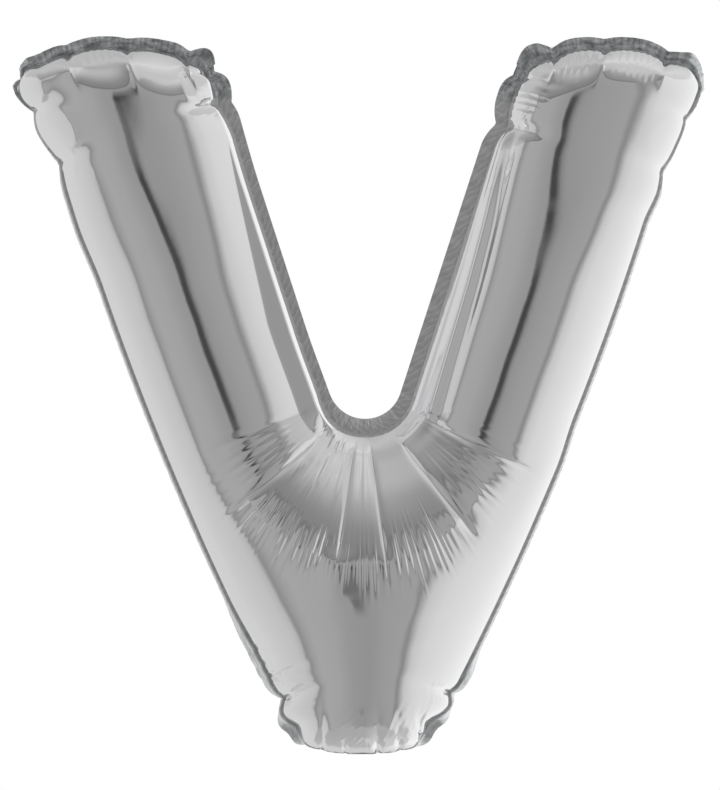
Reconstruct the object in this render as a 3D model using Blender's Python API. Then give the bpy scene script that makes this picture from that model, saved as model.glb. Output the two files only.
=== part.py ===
# Letter V foil balloon, blown up: two dished film panels, the flat welded border between them,
# and the filling neck with its valve sleeve behind the foot.
# Metres. +X to the right and +Z up as the letter is read, the letter's front faces -Y.
# The origin is the middle of the letter, in the plane of the weld.

from math import cos, pi, radians, sin

import bpy
import numpy as np

MM = 0.001

# The letter's outline along the weld
ARM_LEAN = radians(18)
NOTCH_RADIUS = 24.3 * MM
NOTCH_CENTRE_Z = 7.0 * MM
SHOULDER_X = 138.8 * MM
SHOULDER_Z = 105.5 * MM
ANKLE_X = 46.2 * MM
ANKLE_Z = -127.8 * MM
EDGE_BOW = 5.95 * MM
FOOT_CORNER_Z = -143.7 * MM
FOOT_BOTTOM_Z = -166.3 * MM
FOOT_SQUARENESS = 2.55
TOP_INNER_CORNER_Z = 152.0 * MM
TOP_OUTER_CORNER_Z = 149.0 * MM
TOP_RISE = 10.5 * MM
TOP_RISE_POWER = 0.75
TOP_RISE_REACH = 90.0 * MM
OUTER_FLARE = 8.5 * MM
INNER_FLARE = 2.0 * MM
FLARE_START_Z = 103.0 * MM

# How full the panels are: 1 would make each arm's section round. The cap closes the top of an arm.
FULLNESS = 0.84
JUNCTION_POWER = 2.5
CAP_LENGTH = 32.0 * MM
CAP_SQUARENESS = 2.4
# The wall that stands for the film
WALL = 2.0 * MM

# Lines across the letter spread out below the notch like a fan
FAN_SPREAD = 144.0 * MM
FAN_CORE = 10.9 * MM
LEVEL_START = 100.0 * MM

# The welded border
BORDER_WIDTH = 7.0 * MM
BORDER_HALF = 0.6 * MM
# Under the panels the weld is pressed a little thinner than the free margin.
WELD_HALF = 0.45 * MM
WELD_LAND = 3.2 * MM
FLAT_MARGIN = 1.5 * MM
GAP = 0.3 * MM
SIDE_TILT = radians(75)
FOOT_TILT = radians(90)
CORNER_START = 0.85

# Puckers: where the weld is drawn in, how deep, how wide and how far the groove runs
PUCKER_DEPTH = 2.6 * MM
PUCKER_WIDTH = 3.2 * MM
PUCKER_SHARPNESS = 1.4
PUCKER_REACH = 11.0 * MM
GROOVE_REACH = 16.5 * MM
GROOVE_SHARE = 0.28
TOP_PUCKERS_AT = (0.16, 0.48, 0.775)
OUTER_PUCKERS_Z = (131.5 * MM, 108.0 * MM, FOOT_CORNER_Z)
INNER_PUCKER_Z = 128.0 * MM
CORNER_PUCKER = 1.8 * MM

# The filling neck and its valve sleeve
NECK_X = 7.0 * MM
NECK_WIDTH = 24.0 * MM
NECK_END = 25.0 * MM
NECK_HALF = 1.4 * MM
POCKET_START = 11.0 * MM
POCKET_SIDE = 3.5 * MM
SLEEVE_HALF = 0.3 * MM
SLEEVE_END = 28.5 * MM
NECK_STEPS = 8

# How finely the forms are cut: pairs of steps, because the wall's inside takes every second line
STEPS_TO_FOOT_CORNER = 6
STEPS_ALONG_ARM = 34
STEPS_BETWEEN_PUCKERS = 2
STEPS_AT_TOP = 6
TOP_GRADING = 1.6
STEPS_ACROSS = (4, 4, 4, 4)
TABLE_POINTS = 4000
SMOOTH_UP_TO = radians(40)

FOIL = (0.72, 0.73, 0.74, 1.0)
WELD = (0.50, 0.51, 0.52, 1.0)
CLEAR_FILM = (0.86, 0.88, 0.90, 1.0)


def smooth(x):
    """From 0 to 1 with level ends, for x from 0 to 1."""
    x = np.clip(x, 0, 1)
    return x * x * (3 - 2 * x)


def inner_seam(s, inset=0.0):
    """The weld round the notch: an arc, then straight lines up the arms. s is 0 at its lowest point."""
    radius = NOTCH_RADIUS + inset
    turn = pi / 2 - ARM_LEAN
    angle = np.minimum(np.abs(s) / NOTCH_RADIUS, turn)
    beyond = np.maximum(np.abs(s) - NOTCH_RADIUS * turn, 0)
    x = radius * np.sin(angle) + beyond * sin(ARM_LEAN)
    z = NOTCH_CENTRE_Z - radius * np.cos(angle) + beyond * cos(ARM_LEAN)
    x = x - INNER_FLARE * smooth((z - FLARE_START_Z) / (TOP_INNER_CORNER_Z - FLARE_START_Z))
    return np.sign(s) * x, z


def side_slant():
    """A distance square to an arm's outer edge, as a share of the level one."""
    return cos(np.arctan2(SHOULDER_X - ANKLE_X, SHOULDER_Z - ANKLE_Z))


def side_x(z, inset=0.0):
    """The outer edge of an arm at height z: a bowed chord from ankle to shoulder, flared at the top."""
    along = (z - ANKLE_Z) / (SHOULDER_Z - ANKLE_Z)
    chord = ANKLE_X + (SHOULDER_X - ANKLE_X) * along
    bow = 4 * EDGE_BOW * along * (1 - along)
    flare = OUTER_FLARE * smooth((z - FLARE_START_Z) / (TOP_OUTER_CORNER_Z - FLARE_START_Z))
    return chord + bow + flare - inset / side_slant()


def outer_table(inset=0.0):
    """Points on half of the outer weld, from the foot's lowest one up to the top corner, with distances."""
    half_width = side_x(FOOT_CORNER_Z, inset)
    foot_height = FOOT_CORNER_Z - FOOT_BOTTOM_Z - inset
    turn = np.linspace(0, pi / 2, TABLE_POINTS)
    power = 2 / FOOT_SQUARENESS
    foot_x = half_width * np.sin(turn) ** power
    foot_z = FOOT_CORNER_Z - foot_height * np.maximum(np.cos(turn), 0) ** power
    side_z = np.linspace(FOOT_CORNER_Z, TOP_OUTER_CORNER_Z - inset, TABLE_POINTS)[1:]
    x = np.concatenate([foot_x, side_x(side_z, inset)])
    z = np.concatenate([foot_z, side_z])
    distance = np.concatenate([[0], np.cumsum(np.hypot(np.diff(x), np.diff(z)))])
    return x, z, distance


def inner_length():
    turn = pi / 2 - ARM_LEAN
    tangent_z = NOTCH_CENTRE_Z - NOTCH_RADIUS * sin(ARM_LEAN)
    return NOTCH_RADIUS * turn + (TOP_INNER_CORNER_Z - tangent_z) / cos(ARM_LEAN)


def outer_distance(s, outer_total):
    """Where the line across the letter that starts at s on the notch's weld meets the outer weld."""
    s = np.abs(s)
    levelled = smooth((s - LEVEL_START) / (inner_length() - LEVEL_START))
    top_shift = outer_total - inner_length() - FAN_SPREAD
    return s + FAN_SPREAD * (1 - np.exp(-((s / FAN_CORE) ** 2))) + top_shift * levelled


def outer_seam(s, inset=0.0):
    """The outer weld at the end of the line across from s."""
    full = outer_table()[2][-1]
    x, z, distance = outer_table(inset)
    share = outer_distance(s, full) / full
    # An inset outline is shorter, and keeps its foot corner on the same line across.
    at = share * distance[-1]
    return np.sign(s) * np.interp(at, distance, x), np.interp(at, distance, z)


def inner_at_height(z):
    tangent_z = NOTCH_CENTRE_Z - NOTCH_RADIUS * sin(ARM_LEAN)
    return NOTCH_RADIUS * (pi / 2 - ARM_LEAN) + (z - tangent_z) / cos(ARM_LEAN)


def start_of_line_to(z):
    """The s whose line across meets the outer weld at height z."""
    _, heights, distance = outer_table()
    wanted = distance[np.argmin(np.abs(heights - z))]
    s = np.linspace(0, inner_length(), TABLE_POINTS)
    return np.interp(wanted, outer_distance(s, distance[-1]), s)


def lines_across():
    """The s of every line across the letter, from the left arm's top to the right arm's top."""
    outer_total = outer_table()[2][-1]
    foot = start_of_line_to(FOOT_CORNER_Z)
    shoulder = start_of_line_to(OUTER_PUCKERS_Z[1])
    upper = start_of_line_to(OUTER_PUCKERS_Z[0])
    inside = inner_at_height(INNER_PUCKER_Z)
    stops = [0, foot, shoulder, *sorted((inside, upper)), inner_length()]
    steps = [
        STEPS_TO_FOOT_CORNER,
        STEPS_ALONG_ARM,
        STEPS_BETWEEN_PUCKERS,
        STEPS_BETWEEN_PUCKERS,
        STEPS_AT_TOP,
    ]
    table = np.linspace(0, inner_length(), TABLE_POINTS)
    middle = (table + outer_distance(table, outer_total)) / 2
    half = [np.zeros(1)]
    for n, (start, stop, count) in enumerate(zip(stops, stops[1:], steps)):
        share = np.linspace(0, 1, count + 1)[1:]
        if n == len(steps) - 1:
            share = 1 - (1 - share) ** TOP_GRADING
        low, high = np.interp((start, stop), table, middle)
        half.append(np.interp(low + (high - low) * share, middle, table))
    half = np.concatenate(half)
    return np.concatenate([-half[:0:-1], half])


def places_across():
    """Shares along a line across, closer together near the weld, with one at each pucker of the top edge."""
    stops = [0, *(np.arccos(1 - 2 * v) for v in TOP_PUCKERS_AT), pi]
    angles = [np.zeros(1)]
    for start, stop, count in zip(stops, stops[1:], STEPS_ACROSS):
        angles.append(np.linspace(start, stop, count + 1)[1:])
    return (1 - np.cos(np.concatenate(angles))) / 2


def near_top(s):
    """0 down the arms, rising to 1 at their tops."""
    return (1 - smooth((inner_length() - np.abs(s)) / TOP_RISE_REACH))[:, None]


def outline_grid(s, v, inset=0.0):
    """In-plane points of the letter: lines across from weld to weld, bowed up near the arms' tops."""
    inner_x, inner_z = inner_seam(s, inset)
    outer_x, outer_z = outer_seam(s, inset)
    x = inner_x[:, None] * (1 - v) + outer_x[:, None] * v
    z = inner_z[:, None] * (1 - v) + outer_z[:, None] * v
    # The inner weld isn't shortened by its own inset, so the top comes down here.
    z = z - inset * (1 - v) * near_top(s)
    rise = TOP_RISE * (4 * v * (1 - v)) ** TOP_RISE_POWER
    return x, z + rise * near_top(s) ** 2


def half_width(z, inset=0.0):
    """From the letter's middle to its outer weld at height z, round the foot too."""
    foot_height = FOOT_CORNER_Z - FOOT_BOTTOM_Z - inset
    down = np.clip((FOOT_CORNER_Z - z) / foot_height, 0, 1)
    share = (1 - down**FOOT_SQUARENESS) ** (1 / FOOT_SQUARENESS)
    return side_x(np.maximum(z, FOOT_CORNER_Z), inset) * share


def from_notch(x, z, inset=0.0):
    """Distance to the weld round the notch: to its arc below it, and to its straight lines beside it."""
    x, z = np.abs(x), z - NOTCH_CENTRE_Z
    below_arc = np.arctan2(x, -z) < pi / 2 - ARM_LEAN
    to_line = x * cos(ARM_LEAN) - z * sin(ARM_LEAN)
    return np.where(below_arc, np.hypot(x, z), to_line) - NOTCH_RADIUS - inset


def stand_out(x, z, inset=0.0):
    """How far the film stands out. With a and b the distances to the two outer welds and c the one to the
    notch's, it is the root of a*b*c over their power mean: round across each arm and across the foot, and
    fullest where the arms meet. A squarer curve closes the top of each arm."""
    width = half_width(z, inset)
    a = side_slant() * np.maximum(width + x, 0)
    b = side_slant() * np.maximum(width - x, 0)
    c = np.maximum(from_notch(x, z, inset), 0)
    mean = (a**JUNCTION_POWER + b**JUNCTION_POWER + c**JUNCTION_POWER) ** (1 / JUNCTION_POWER)
    left = np.arange(len(x))[:, None] < len(x) // 2
    below = np.hypot(x - np.where(left, x[:1], x[-1:]), z - np.where(left, z[:1], z[-1:]))
    open_part = (1 - np.minimum(below / CAP_LENGTH, 1)) ** CAP_SQUARENESS
    height = FULLNESS * np.sqrt(a * b * c / mean) * (1 - open_part) ** (1 / CAP_SQUARENESS)
    height[[0, -1]] = 0
    height[:, [0, -1]] = 0
    return height, below


def loop_of(grid):
    """The rim of a grid as one loop: inner weld left to right, right top, outer weld, left top."""
    return np.concatenate([grid[:, 0], grid[-1, 1:], grid[-2::-1, -1], grid[0, -2:0:-1]])


def put_on_rim(grid, loop):
    """The grid's rim as loop_of reads it, filled from the loop."""
    rows, columns = grid.shape
    grid[:, 0] = loop[:rows]
    grid[-1, 1:] = loop[rows : rows + columns - 1]
    grid[-2::-1, -1] = loop[rows + columns - 1 : 2 * rows + columns - 2]
    grid[0, -2:0:-1] = loop[2 * rows + columns - 2 :]
    return grid


def outward(x, z):
    """Unit normals that point out of the letter along its rim loop."""
    along_x, along_z = np.roll(x, -1) - np.roll(x, 1), np.roll(z, -1) - np.roll(z, 1)
    length = np.hypot(along_x, along_z)
    return -along_z / length, along_x / length


def pucker_shape(away):
    return PUCKER_DEPTH * np.exp(-((np.abs(away) / PUCKER_WIDTH) ** PUCKER_SHARPNESS))


def pucker_depth(s, v):
    """How far the weld is drawn in, on the grid, counting only the rim that each pucker is on."""
    shape = (len(s), len(v))
    drawn = np.zeros(shape)
    _, outer_z = outer_seam(s)
    _, inner_z = inner_seam(s)
    for z in OUTER_PUCKERS_Z:
        drawn[:, -1] += pucker_shape(outer_z - z)
    drawn[:, 0] += pucker_shape(inner_z - INNER_PUCKER_Z)
    for row in (0, -1):
        top_x, _ = outline_grid(s[[0, -1]], v)
        for place in TOP_PUCKERS_AT:
            drawn[row] += pucker_shape(top_x[row] - np.interp(place, v, top_x[row]))
        for column in (0, -1):
            drawn[row, column] = CORNER_PUCKER
    return drawn


def spread_inwards(rim_values, v, span, below, reach):
    """Values on the grid's rim, carried inwards and fading from each weld and from the arms' tops."""
    left = np.arange(len(rim_values))[:, None] < len(rim_values) // 2
    from_top = np.where(left, rim_values[:1], rim_values[-1:])
    return (
        rim_values[:, :1] * np.exp(-v * span / reach)
        + rim_values[:, -1:] * np.exp(-(1 - v) * span / reach)
        + from_top * np.exp(-below / reach)
    )


def film(s, v, inset=0.0):
    """The puckered film: its in-plane points and how far each stands out."""
    x, z = outline_grid(s, v, inset)
    height, below = stand_out(x, z, inset)
    drawn = pucker_depth(s, v)
    normal_x, normal_z = outward(loop_of(x), loop_of(z))
    push_x = put_on_rim(np.zeros_like(x), -normal_x * loop_of(drawn))
    push_z = put_on_rim(np.zeros_like(z), -normal_z * loop_of(drawn))
    span = np.hypot(x[:, -1] - x[:, 0], z[:, -1] - z[:, 0])[:, None]
    inside = np.zeros_like(x, bool)
    inside[1:-1, 1:-1] = True
    groove = spread_inwards(drawn / PUCKER_DEPTH, v, span, below, GROOVE_REACH)
    x = x + np.where(inside, spread_inwards(push_x, v, span, below, PUCKER_REACH), push_x)
    z = z + np.where(inside, spread_inwards(push_z, v, span, below, PUCKER_REACH), push_z)
    return x, z, height * (1 - GROOVE_SHARE * np.clip(groove, 0, 1))


def grid_faces(rows, columns, start=0):
    """Triangles of a grid, seen from +Y when rows run to +X and columns to -Z."""
    i, j = np.meshgrid(np.arange(rows - 1), np.arange(columns - 1), indexing="ij")
    a = start + (i * columns + j).ravel()
    b, c, d = a + columns, a + columns + 1, a + 1
    return np.concatenate([np.stack([a, b, c], 1), np.stack([a, c, d], 1)])


def loop_indices(rows, columns, start=0):
    return loop_of(start + np.arange(rows * columns).reshape(rows, columns))


def rim_faces(fine, coarse):
    """The flat land between the film's rim and the wall's inner rim, which has every second point."""
    ahead, next_coarse = np.roll(fine, -2), np.roll(coarse, -1)
    first, second, third = fine[::2], fine[1::2], ahead[::2]
    return np.concatenate(
        [
            np.stack([coarse, first, second], 1),
            np.stack([coarse, second, next_coarse], 1),
            np.stack([next_coarse, second, third], 1),
        ]
    )


def material(name, colour, metallic, roughness):
    made = bpy.data.materials.new(name)
    made.use_nodes = True
    shader = made.node_tree.nodes["Principled BSDF"]
    shader.inputs["Base Color"].default_value = colour
    shader.inputs["Metallic"].default_value = metallic
    shader.inputs["Roughness"].default_value = roughness
    return made


def solid(name, points, faces, finish):
    """A closed mesh object, with its faces pointing out."""
    mesh = bpy.data.meshes.new(name)
    mesh.from_pydata(np.asarray(points).tolist(), [], np.asarray(faces).tolist())
    mesh.update()
    mesh.shade_smooth()
    mesh.set_sharp_from_angle(angle=SMOOTH_UP_TO)
    mesh.materials.append(finish)
    made = bpy.data.objects.new(name, mesh)
    bpy.context.scene.collection.objects.link(made)
    return made


def panel(name, side, finish):
    """One film: the outside, the inside one wall deeper and cut half as fine, and the flat rim between them.
    side is -1 in front and +1 behind."""
    s, v = lines_across(), places_across()
    x, z, height = film(s, v)
    face_y = BORDER_HALF + GAP
    outer = np.stack([x, side * (face_y + height), z], 2).reshape(-1, 3)
    s_in, v_in = s[::2], v[::2]
    x_in, z_in, height_in = film(s_in, v_in, WALL)
    inner = np.stack([x_in, side * (face_y + height_in), z_in], 2).reshape(-1, 3)
    skin = grid_faces(len(s), len(v))[:, ::-1]
    lining = grid_faces(len(s_in), len(v_in), len(outer))
    rim = rim_faces(loop_indices(len(s), len(v)), loop_indices(len(s_in), len(v_in), len(outer)))
    faces = np.concatenate([skin, lining, rim])
    if side > 0:
        faces = faces[:, ::-1]
    return solid(name, np.concatenate([outer, inner]), faces, finish)


def tilt_along_rim(s, v):
    """How far the border leans back from the weld's plane, at each point of the rim loop."""
    tilt = np.zeros((len(s), len(v)))
    tilt[[0, -1]] = SIDE_TILT * smooth((v - CORNER_START) / (1 - CORNER_START))
    _, outer_z = outer_seam(s)
    to_foot = smooth((ANKLE_Z - outer_z) / (ANKLE_Z - FOOT_BOTTOM_Z))
    tilt[:, -1] = SIDE_TILT + (FOOT_TILT - SIDE_TILT) * to_foot
    return loop_of(tilt)


def border_section(tilt, offsets, side):
    """In-plane distance outwards and distance back, at each offset across the border, on one face of it."""
    out, back = [], []
    for offset in offsets:
        lift = side * (BORDER_HALF if offset > 0 else WELD_HALF)
        flat = min(offset, FLAT_MARGIN)
        bent = max(offset - FLAT_MARGIN, 0)
        lean = tilt if offset > FLAT_MARGIN else (tilt / 2 if offset == FLAT_MARGIN else 0 * tilt)
        out.append(flat + bent * np.cos(tilt) + lift * np.sin(lean))
        back.append(bent * np.sin(tilt) - lift * np.cos(lean))
    return np.array(out), np.array(back)


def border(finish):
    """The welded border: a flat strip whose outer margin leans back, all the way round."""
    s, v = lines_across(), places_across()
    x, z = outline_grid(s, v)
    x, z = loop_of(x), loop_of(z)
    normal_x, normal_z = outward(x, z)
    drawn = loop_of(pucker_depth(s, v))
    tilt = tilt_along_rim(s, v)
    rings = []
    for side, offsets in (
        (1, (-WELD_LAND, FLAT_MARGIN, BORDER_WIDTH)),
        (-1, (BORDER_WIDTH, FLAT_MARGIN, -WELD_LAND)),
    ):
        out, back = border_section(tilt, offsets, side)
        for ring_out, ring_back in zip(out, back):
            away = ring_out - drawn
            rings.append(np.stack([x + normal_x * away, ring_back, z + normal_z * away], 1))
    points = np.concatenate(rings)
    count, around = len(x), len(rings)
    k, i = np.meshgrid(np.arange(around), np.arange(count), indexing="ij")
    a = (k * count + i).ravel()
    b = (k * count + (i + 1) % count).ravel()
    c = ((k + 1) % around * count + (i + 1) % count).ravel()
    d = ((k + 1) % around * count + i).ravel()
    faces = np.concatenate([np.stack([a, b, c], 1), np.stack([a, c, d], 1)])
    return solid("seam_border", points, faces, finish)


def foot_sheet(name, half_width, start, end, half_thick, finish, hidden=False):
    """A curved slab behind the foot, in line with the border there, from start to end across it."""
    x_table, z_table, _ = outer_table()
    x = NECK_X + np.linspace(-half_width, half_width, NECK_STEPS + 1)
    side = np.sign(x + 1e-12)
    foot = z_table <= FOOT_CORNER_Z
    z = np.interp(np.abs(x), x_table[foot], z_table[foot])
    slope = np.gradient(z, x)
    normal_x, normal_z = slope / np.hypot(slope, 1), -1 / np.hypot(slope, 1)
    rings = []
    for lift, offset in ((-1, start), (-1, end), (1, end), (1, start)):
        out = FLAT_MARGIN + lift * half_thick
        back = np.full_like(x, offset - FLAT_MARGIN)
        rings.append(np.stack([x + normal_x * out, back, z + normal_z * out], 1))
    points = np.concatenate(rings)
    count = len(x)
    faces = []
    for ring in range(4):
        following = (ring + 1) % 4
        for i in range(count - 1):
            a, b = ring * count + i, ring * count + i + 1
            c, d = following * count + i + 1, following * count + i
            faces += [(a, c, d), (a, b, c)]
    first = [ring * count for ring in range(4)]
    last = [ring * count + count - 1 for ring in range(4)]
    faces += [(first[0], first[1], first[2]), (first[0], first[2], first[3])]
    faces += [(last[0], last[2], last[1]), (last[0], last[3], last[2])]
    made = solid(name, points, faces, finish)
    if hidden:
        made.hide_render = True
        made.display_type = "WIRE"
    return made


def neck(finish):
    """The foil neck: in line with the border, with a flat pocket that the valve sleeve sits in."""
    made = foot_sheet("valve_neck", NECK_WIDTH / 2, BORDER_WIDTH + GAP, NECK_END, NECK_HALF, finish)
    pocket = foot_sheet(
        "pocket_cutter",
        NECK_WIDTH / 2 - POCKET_SIDE,
        POCKET_START,
        NECK_END + SLEEVE_END,
        SLEEVE_HALF + GAP,
        finish,
        hidden=True,
    )
    cut = made.modifiers.new("pocket", "BOOLEAN")
    cut.operation = "DIFFERENCE"
    cut.object = pocket
    return made


def sleeve(finish):
    """The valve sleeve: clear film inside the neck's pocket, its mouth just past the neck's end."""
    width = NECK_WIDTH / 2 - POCKET_SIDE - GAP
    return foot_sheet("valve_sleeve", width, POCKET_START + GAP, SLEEVE_END, SLEEVE_HALF, finish)


def main():
    for thing in list(bpy.data.objects):
        bpy.data.objects.remove(thing)
    foil = material("silver foil", FOIL, 1.0, 0.12)
    weld = material("welded foil", WELD, 1.0, 0.35)
    clear = material("clear film", CLEAR_FILM, 0.0, 0.3)
    panel("front_panel", -1, foil)
    panel("back_panel", 1, foil)
    border(weld)
    neck(weld)
    sleeve(clear)


main()
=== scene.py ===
from math import cos, pi, radians, sin

import bpy
import numpy as np
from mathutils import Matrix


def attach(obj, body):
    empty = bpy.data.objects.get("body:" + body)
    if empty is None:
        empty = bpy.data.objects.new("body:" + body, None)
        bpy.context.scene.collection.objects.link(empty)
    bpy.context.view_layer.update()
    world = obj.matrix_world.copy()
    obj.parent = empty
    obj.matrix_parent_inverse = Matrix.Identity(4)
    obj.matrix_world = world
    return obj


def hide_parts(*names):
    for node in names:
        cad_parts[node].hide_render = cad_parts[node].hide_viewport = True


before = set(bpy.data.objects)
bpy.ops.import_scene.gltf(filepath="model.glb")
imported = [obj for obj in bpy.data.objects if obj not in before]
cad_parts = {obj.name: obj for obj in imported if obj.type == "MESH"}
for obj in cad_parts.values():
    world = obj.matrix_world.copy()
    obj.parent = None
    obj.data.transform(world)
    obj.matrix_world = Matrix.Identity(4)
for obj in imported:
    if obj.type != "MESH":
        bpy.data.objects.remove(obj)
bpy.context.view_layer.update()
mm = 0.001


def listOf(names, *rows):  # one dictionary per row, with the words in names as its keys
    return [dict(zip(names.split(), row)) for row in rows]


# The letter's outline along the weld, in millimetres, seen from the front. Pairs are left arm, right arm.
letter = {
    "armLean": radians(18),
    "notchRadius": 24.3,
    "notchCentreZ": 6.2,
    "notchShift": 1.2,  # how far the notch lies to the right of the middle
    "notchShiftEnds": (-10.0, 40.0),  # up the left arm: from this height, over this length
    "shoulderX": 138.8,
    "shoulderZ": 105.5,
    "ankleX": 46.2,
    "ankleZ": -127.8,
    "edgeBow": 5.95,
    "footCornerZ": -143.7,
    "footBottomZ": -166.3,
    "footSquareness": 2.4,
    "footSoftness": 3.0,  # how softly a side turns into the foot
    "topInnerZ": 153.2,
    "topOuterZ": 149.8,
    "topRise": 10.5,
    "topRiseReach": 90.0,
    "outerFlare": (10.5, 6.0),
    "innerFlare": (1.8, 0.0),
    # Small steps out of the outer edge: above or below a height, over a length, by how much
    "leftSteps": ((50.0, 30.0, 2.1), (-95.0, -25.0, -1.2)),
    "rightSteps": ((80.0, 15.0, 1.9), (-10.0, -25.0, 1.6)),
    "stepsEnd": 25.0,  # they fade over this height above the foot's lowest point
    "flareStartZ": 95.0,
    "fanSpread": 144.0,
    "fanCore": 10.9,
    "levelStart": 100.0,
}

# How full the two films are, and how finely they are drawn
film = {
    "fullness": 0.84,
    "junctionPower": 2.5,
    "sideSlant": 0.93,  # a distance square to the outer edge, as a share of the level one
    "capRoundness": 2.2,
    "pillowRoundness": 0.6,
    "pinchedLength": 10.0,
    "innerPinch": {"shorter": 0.5, "until": 0.1, "over": 0.2},  # at the left arm's inner corner
    "pinchedRoundness": 1.5,
    # Near its top the right arm's section grows squarer on both sides and its ridge shifts inwards; the left
    # arm's ridge bends outwards by a share, about a height and over a length, and back at the very top
    "squareness": {"inner": 2.4, "outer": 2.45, "height": 45.0, "length": 70.0},
    "ridgeShift": {"share": -0.17, "height": 70.0, "length": 60.0},
    "ridgeBend": {"share": 0.085, "height": 104.0, "length": 19.0},
    "bendBack": {"share": 0.012, "height": 115.0, "length": 30.0},
    "cornerRadius": 9.0,
    "capLines": 30.0,  # over this length below the tops the lines lie closer
    "samples": 6000,  # of the middle line, from which the lines across are spaced
    "linesAlong": 264,
    "linesOverCap": 54,
    "linesAcross": 150,
    "fanDensity": 2.4,
    "fanLength": 90.0,
    "rimGap": 0.3,
    "drawnReach": 9.0,
    "sectionEnd": 0.9995,  # the share of the way from ridge to weld where a circle's height counts as 0
    "overhang": (2.6, 1.1),  # how far the film bulges over the border beside the notch
    "overhangStarts": (8.0, 25.0),  # from this distance beside the notch's lowest point, over a length
    "overhangEnds": (118.0, 20.0),  # from this height, over a length
    "footOverhang": 1.3,  # and the front one over the border along the foot's bottom
    "footOverhangEnds": (-155.0, 6.0),
    # The small forms grow with the film's height, and from a distance beside a corner, over a length
    "formsHeight": 5.0,
    "pleatsHeight": 10.0,
    "wavesHeight": 25.0,
    "formsCorner": (2.0, 12.0),
    # Slow waves where the film is full: height and length along the letter, and height and lengths across
    "wavesAlong": (0.20, 110),
    "wavesAcross": (0.12, 60, 140),
}

# The left arm's inner side: a shoulder that falls to a narrow ledge facing the front, then a wall down to
# the weld. drop and power: at the notch and at the top. The ledge grows over a length below ledgeTop.
shoulder = {
    "drop": (0.55, 0.47),
    "power": (2.0, 3.0),
    "wall": 2.8,
    "wallPower": 1.6,
    "ledge": 7.0,
    "ledgeTop": 118.0,
    "ledgeGrows": 85.0,
    "held": 0.88,  # how nearly level the ledge is
    "angles": (radians(20), radians(60)),  # round the notch: where it starts and where it is whole
}

# Where the weld is drawn in as the gas fills the letter. arm is -1 for the left one and 1 for the right.
# place is a share of the arm's top from the inner corner to the outer one, a height on a side, or a
# distance from the foot's middle. pull and reach: how far the weld is drawn in, and how far along it.
# depth, width and run: the groove in the film. crinkle: the fine folds beside it. slant: how far they lean
# along the weld, per distance inwards.
pinches = listOf(
    "arm edge place pull reach depth width run crinkle slant",
    (-1, "top", 0.106, 2.6, 8, 0.8, 2.6, 8, 0.06, 0),
    (-1, "top", 0.416, 1.2, 14, 1.0, 3.0, 9, 0.22, 0),
    (-1, "top", 0.716, 1.4, 12, 1.0, 3.0, 8, 0.14, 0),
    (-1, "outer", 150.0, 2.0, 6, 1.2, 3.0, 7, 0.04, 0),
    (-1, "outer", 130.8, 3.4, 10, 1.2, 3.0, 7, 0.06, 0),
    (-1, "outer", 107.4, 2.8, 14, 1.6, 3.2, 17, 0.50, 0),
    (-1, "inner", 150.7, 2.4, 7, 0.3, 2.6, 4, 0.0, 0),
    (-1, "inner", 135.3, 1.6, 9, 1.6, 3.0, 13, 0.12, 0),
    (1, "top", 0.176, 2.2, 10, 0.8, 2.8, 8, 0.20, 0),
    (1, "top", 0.456, 1.4, 14, 1.0, 3.0, 9, 0.26, 0),
    (1, "top", 0.798, 2.2, 12, 0.8, 2.8, 7, 0.22, 0),
    (1, "outer", 128.3, 1.2, 9, 0.8, 3.2, 8, 0.06, 0),
    (1, "outer", 103.8, 1.8, 11, 1.0, 3.2, 9, 0.08, 0),
    (1, "inner", 148.5, 2.4, 9, 1.6, 3.2, 12, 0.18, 0),
    (1, "inner", 125.5, 3.2, 12, 2.2, 3.6, 15, 0.26, 0),
    (-1, "outer", -142.0, 2.8, 7, 1.4, 3.0, 12, 0.22, 0),
    (1, "outer", -139.5, 2.6, 7, 1.2, 3.2, 10, 0.10, 0),
    (-1, "outer", -131.0, 0.4, 4, 0.9, 2.8, 14, 0.30, 0.3),
    (-1, "outer", -118.0, 0.3, 4, 0.5, 2.6, 5, 0.20, 0),
    (-1, "outer", -125.0, 0.3, 4, 0.5, 2.6, 5, 0.20, 0),
    (-1, "foot", 19.0, 0.4, 5, 1.0, 2.6, 14, 0.34, 1.1),
    (-1, "foot", 8.0, 0.3, 5, 0.9, 3.0, 12, 0.30, 1.0),
    (1, "foot", 7.0, 0.6, 6, 1.6, 4.0, 15, 0.20, -0.7),
    (1, "foot", 17.0, 0.4, 5, 1.1, 3.4, 12, 0.24, -0.9),
    (1, "foot", 28.0, 0.6, 6, 1.4, 3.6, 14, 0.30, -0.3),
)

# How a groove opens inwards and how sharp it is, where its folds fan out from, how ragged they end, how far
# beside the groove they reach in widths of it, and their spacing
pinchForm = {"opens": 0.5, "sharpness": 1.5, "fan": 0.45, "ragged": 0.3, "reach": 2.2, "folds": 3.1}

# Where the weld takes a rounded step instead: how far out (below zero: in), and how far along it reaches
swells = listOf(
    "arm edge place push reach",
    (-1, "top", 0.86, -1.6, 12),
    (-1, "outer", -157.0, -4.0, 11),
    (1, "outer", -156.0, -6.0, 14),
)

# Where only the border stands out, in a lobe beside a corner
lobes = listOf(
    "arm edge place push reach",
    (-1, "top", 0.05, 3.6, 8),
    (1, "top", 0.08, 3.0, 10),
    (1, "top", 0.96, 2.6, 10),
)

# How the film closes the arms' tops. Each cap: from and to as shares of the top, and its length
caps = listOf(
    "arm from to length",
    (-1, -0.106, 0.106, 8.0),
    (-1, 0.106, 0.416, 29.0),
    (-1, 0.416, 0.716, 28.5),
    (-1, 0.716, 1.10, 14.0),
    (1, -0.176, 0.176, 20.0),
    (1, 0.176, 0.456, 26.0),
    (1, 0.456, 0.798, 22.5),
    (1, 0.798, 1.25, 18.0),
)

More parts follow.
